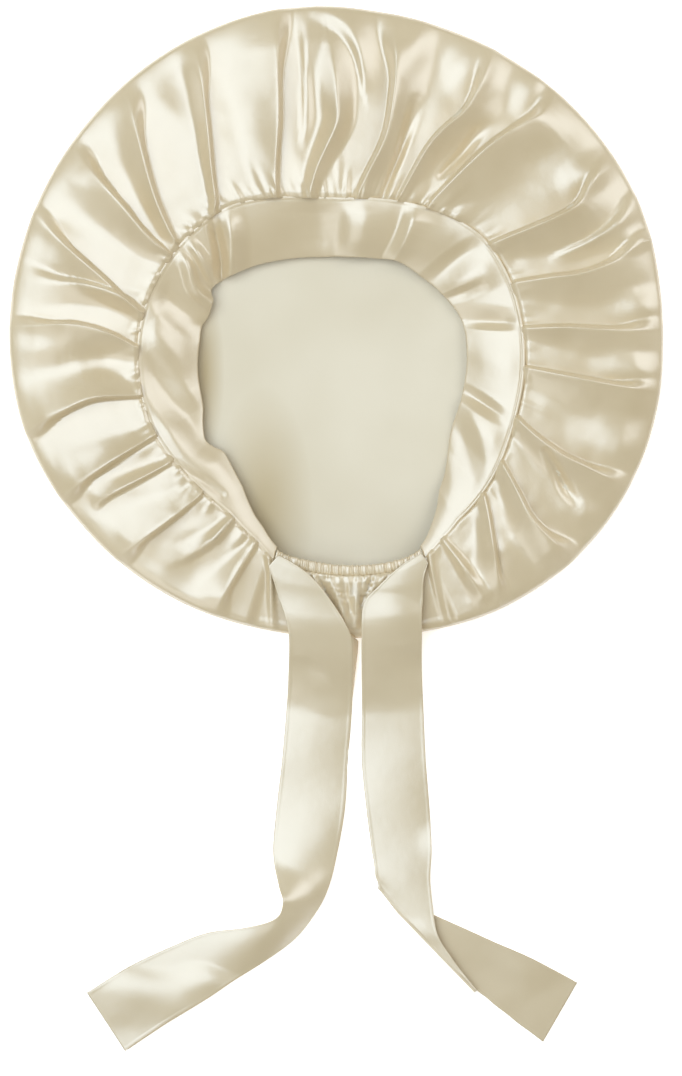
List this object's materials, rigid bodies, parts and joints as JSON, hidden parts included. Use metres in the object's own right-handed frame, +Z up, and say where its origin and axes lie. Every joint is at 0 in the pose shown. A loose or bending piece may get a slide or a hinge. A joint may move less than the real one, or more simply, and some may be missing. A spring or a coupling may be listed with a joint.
{
  "type": "sleep bonnet",
  "caption": "Ivory satin sleep bonnet laid flat on its crown: gathered bag, wide front band, elastic nape casing and flat ties lying on the surface.",
  "frame": {"origin": "on the surface under the middle of the crown's flat back panel", "axes": "+Z up out of the face opening, +Y towards the forehead side, +X towards the side with the folded tie; the ties lie towards -Y"},
  "size_m": [0.3591, 0.5755, 0.0296],
  "materials": {
    "crown_satin": "glossy ivory satin",
    "band_satin": "glossy ivory satin",
    "casing_satin": "gathered ivory satin over elastic",
    "tie_satin": "glossy ivory satin"
  },
  "bodies": {
    "root": {"crown": "crown_satin", "band": "band_satin", "nape_casing": "casing_satin", "tie_left": "tie_satin", "tie_right": "tie_satin"}
  },
  "joints": []
}
